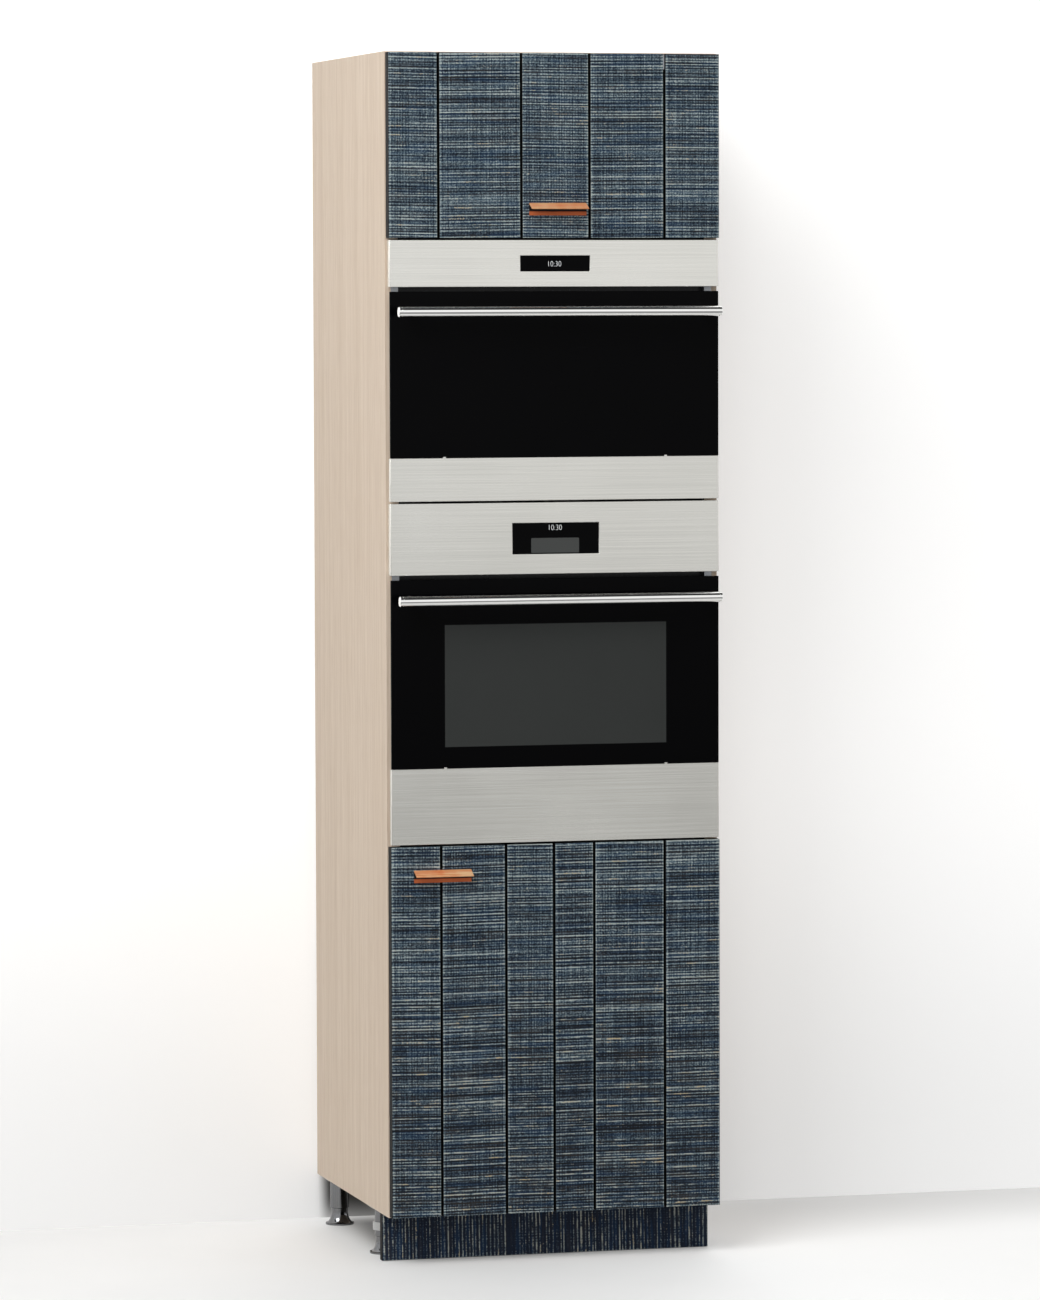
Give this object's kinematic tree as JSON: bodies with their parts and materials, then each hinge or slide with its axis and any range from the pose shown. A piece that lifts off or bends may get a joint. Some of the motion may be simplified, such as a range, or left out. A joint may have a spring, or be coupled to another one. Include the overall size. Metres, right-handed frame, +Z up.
{
  "type": "tall oven housing unit",
  "caption": "Tall kitchen cabinet that houses a compact oven above a full-size oven, with a lift-up plank flap over them, a hinged plank door below, a plinth and levelling legs.",
  "frame": {"origin": "on the floor, under the middle of the whole unit's footprint, handles included", "axes": "+Z up, fronts face -Y, +X to the right seen from the front"},
  "size_m": [0.6, 0.631, 2.12],
  "materials": {
    "oak_board": "pale beige oak-look board, fine vertical grain, matt",
    "blue_wood": "rough-sawn planks washed dark blue, pale streaks, matt",
    "black_board": "black-stained backing board, matt",
    "copper": "brushed copper",
    "steel": "fine brushed stainless steel",
    "zinc": "zinc-plated pressed steel",
    "bright": "polished chrome",
    "enamel": "dark enamel, glossy",
    "dark_glass": "black back-printed glass, polished",
    "clear_glass": "tinted inner pane",
    "seal": "dark silicone, matt",
    "dowel_wood": "plain beech",
    "black_plastic": "moulded, matt"
  },
  "bodies": {
    "root": {"side_panel_left": "oak_board", "side_panel_right": "oak_board", "top_panel": "oak_board", "bottom_panel": "oak_board", "oven_shelf": "oak_board", "middle_shelf": "oak_board", "compartment_shelf": "oak_board", "adjustable_shelf": "oak_board", "back_panels": "oak_board", "fixing_rails": "oak_board", "shelf_pins": "zinc", "dowels": "dowel_wood", "cam_locks": "zinc", "plinth_board": "blue_wood", "plinth_clips": "black_plastic", "legs": "bright", "flap_hinge_arms": "zinc", "strut_cabinet_brackets": "zinc", "lower_door_hinge_arms": "zinc", "upper_oven_casing": "zinc", "upper_oven_cavity": "enamel", "upper_oven_fascia": "steel", "upper_oven_display": "dark_glass", "upper_oven_hinges": "zinc", "lower_oven_casing": "zinc", "lower_oven_cavity": "enamel", "lower_oven_fascia": "steel", "lower_oven_display": "dark_glass", "lower_oven_hinges": "zinc", "oven_seals": "seal", "rack_ladders": "bright", "oven_racks": "bright", "fan_covers": "enamel", "grill_elements": "zinc", "terminal_boxes": "black_plastic"},
    "flap": {"flap_board": "black_board", "flap_planks": "blue_wood", "flap_handle": "copper", "flap_hinge_leaves": "zinc", "strut_flap_brackets": "zinc"},
    "strut_cylinders": {"strut_cylinders": "enamel"},
    "strut_rods": {"strut_rods": "bright"},
    "lower_door": {"lower_door_board": "black_board", "lower_door_planks": "blue_wood", "lower_door_handle": "copper", "lower_door_hinge_leaves": "zinc"},
    "upper_oven_door": {"upper_oven_door_frame": "enamel", "upper_oven_door_glass": "dark_glass", "upper_oven_door_strip": "steel", "upper_oven_inner_glass": "clear_glass", "upper_oven_handle": "steel"},
    "lower_oven_door": {"lower_oven_door_frame": "enamel", "lower_oven_door_glass": "dark_glass", "lower_oven_door_strip": "steel", "lower_oven_inner_glass": "clear_glass", "lower_oven_handle": "steel"},
    "foot_front_left": {"foot_front_left": "bright"},
    "foot_front_right": {"foot_front_right": "bright"},
    "foot_rear_left": {"foot_rear_left": "bright"},
    "foot_rear_right": {"foot_rear_right": "bright"}
  },
  "joints": [
    {"name": "flap_lift", "type": "hinge", "parent": "root", "child": "flap", "pos_m": [0, -0.2605, 2.112], "axis": [-1, 0, 0], "range_deg": [0, 95]},
    {"name": "strut_cylinder_swing", "type": "hinge", "parent": "root", "child": "strut_cylinders", "pos_m": [0, -0.06285, 2.08143], "axis": [-1, 0, 0], "range_deg": [0, 47.5]},
    {"name": "strut_rod_swing", "type": "hinge", "parent": "flap", "child": "strut_rods", "pos_m": [0, -0.2285, 1.91458], "axis": [-1, 0, 0], "range_deg": [-47.5, 0]},
    {"name": "lower_door_swing", "type": "hinge", "parent": "root", "child": "lower_door", "pos_m": [0.2925, -0.2605, 0.41225], "axis": [0, 0, 1], "range_deg": [0, 110]},
    {"name": "upper_oven_door_drop", "type": "hinge", "parent": "root", "child": "upper_oven_door", "pos_m": [0, -0.2585, 1.3515], "axis": [1, 0, 0], "range_deg": [0, 90]},
    {"name": "lower_oven_door_drop", "type": "hinge", "parent": "root", "child": "lower_oven_door", "pos_m": [0, -0.2585, 0.753], "axis": [1, 0, 0], "range_deg": [0, 90]},
    {"name": "foot_front_left_turn", "type": "hinge", "parent": "root", "child": "foot_front_left", "pos_m": [-0.272, -0.0945, 0.03], "axis": [0, 0, 1], "continuous": true},
    {"name": "foot_front_right_turn", "type": "hinge", "parent": "root", "child": "foot_front_right", "pos_m": [0.272, -0.0945, 0.03], "axis": [0, 0, 1], "continuous": true},
    {"name": "foot_rear_left_turn", "type": "hinge", "parent": "root", "child": "foot_rear_left", "pos_m": [-0.272, 0.2555, 0.03], "axis": [0, 0, 1], "continuous": true},
    {"name": "foot_rear_right_turn", "type": "hinge", "parent": "root", "child": "foot_rear_right", "pos_m": [0.272, 0.2555, 0.03], "axis": [0, 0, 1], "continuous": true}
  ],
  "couplings": [
    {"joint": "strut_cylinder_swing", "follows": "flap_lift", "ratio": 0.5},
    {"joint": "strut_rod_swing", "follows": "flap_lift", "ratio": -0.5}
  ]
}
